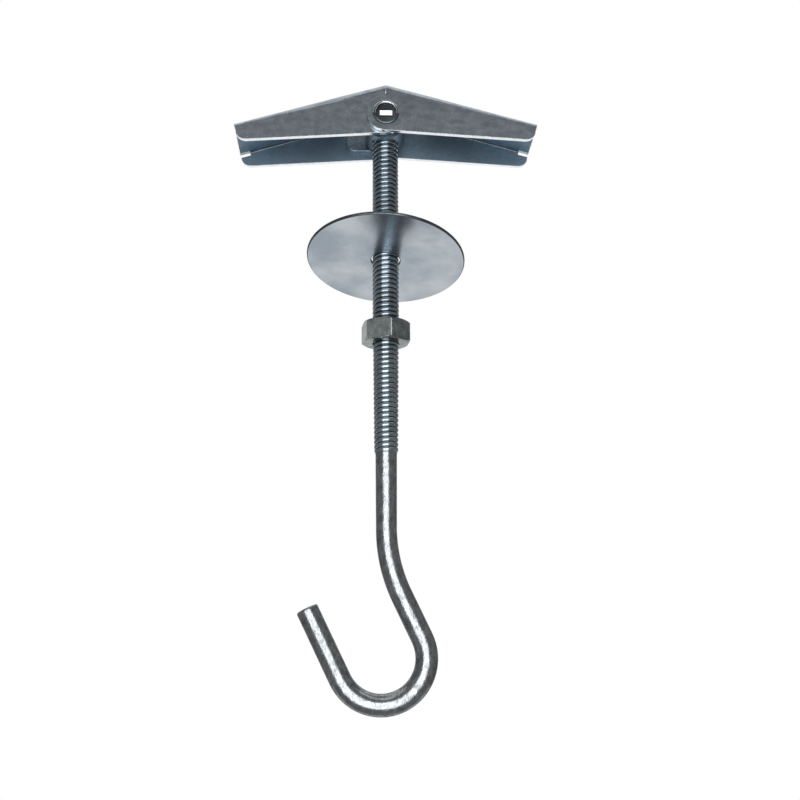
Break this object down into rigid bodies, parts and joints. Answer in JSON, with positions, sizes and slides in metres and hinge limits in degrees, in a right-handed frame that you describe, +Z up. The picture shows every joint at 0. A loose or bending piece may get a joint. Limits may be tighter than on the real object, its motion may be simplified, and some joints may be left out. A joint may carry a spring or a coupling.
{
  "type": "swag hook",
  "caption": "Ceiling swag hook: open C hook on a threaded bolt with a spring toggle, a loose round ceiling washer and a hex lock nut.",
  "frame": {"origin": "on the bolt's axis, level with the lowest points of the spread wings' tips, where they rest on the upper side of the ceiling panel", "axes": "+Z up along the bolt, X along the spread wings with the hook's open side towards -X, Y across the wings along the pivot pins"},
  "size_m": [0.0696, 0.0352, 0.1411],
  "materials": {
    "zinc_bright": "bright zinc plate",
    "zinc_sheet": "fine mottled zinc plate on pressed sheet",
    "zinc_gloss": "smooth glossy zinc plate",
    "zinc_nut": "satin zinc plate",
    "spring_steel": "drawn spring wire"
  },
  "bodies": {
    "toggle": {"toggle_nut": "zinc_bright", "toggle_spring": "spring_steel"},
    "left_wing": {"left_wing": "zinc_sheet"},
    "right_wing": {"right_wing": "zinc_sheet"},
    "bolt": {"hook_bolt": "zinc_bright"},
    "washer": {"ceiling_washer": "zinc_gloss"},
    "lock_nut": {"lock_nut": "zinc_nut"}
  },
  "joints": [
    {"name": "left_wing_fold", "type": "hinge", "parent": "toggle", "child": "left_wing", "pos_m": [0, 0, 0.00646], "axis": [0, -1, 0], "range_deg": [0, 76], "stiffness_Nm_per_rad": 0.01, "springref_deg": -34.38, "deforming": ["toggle_spring"]},
    {"name": "right_wing_fold", "type": "hinge", "parent": "toggle", "child": "right_wing", "pos_m": [0, 0, 0.00646], "axis": [0, 1, 0], "range_deg": [0, 76], "stiffness_Nm_per_rad": 0.01, "springref_deg": -34.38},
    {"name": "bolt_turn", "type": "hinge", "parent": "toggle", "child": "bolt", "pos_m": [0, 0, 0], "axis": [0, 0, 1], "continuous": true},
    {"name": "washer_slide", "type": "slide", "parent": "bolt", "child": "washer", "axis": [0, 0, -1], "range_m": [0, 0.0096]},
    {"name": "nut_travel", "type": "slide", "parent": "bolt", "child": "lock_nut", "axis": [0, 0, 1], "range_m": [-0.024, 0.0025]}
  ],
  "couplings": [
    {"joint": "right_wing_fold", "follows": "left_wing_fold", "ratio": 1},
    {"joint": "washer_slide", "follows": "left_wing_fold", "m_per_rad": 0.00716}
  ]
}
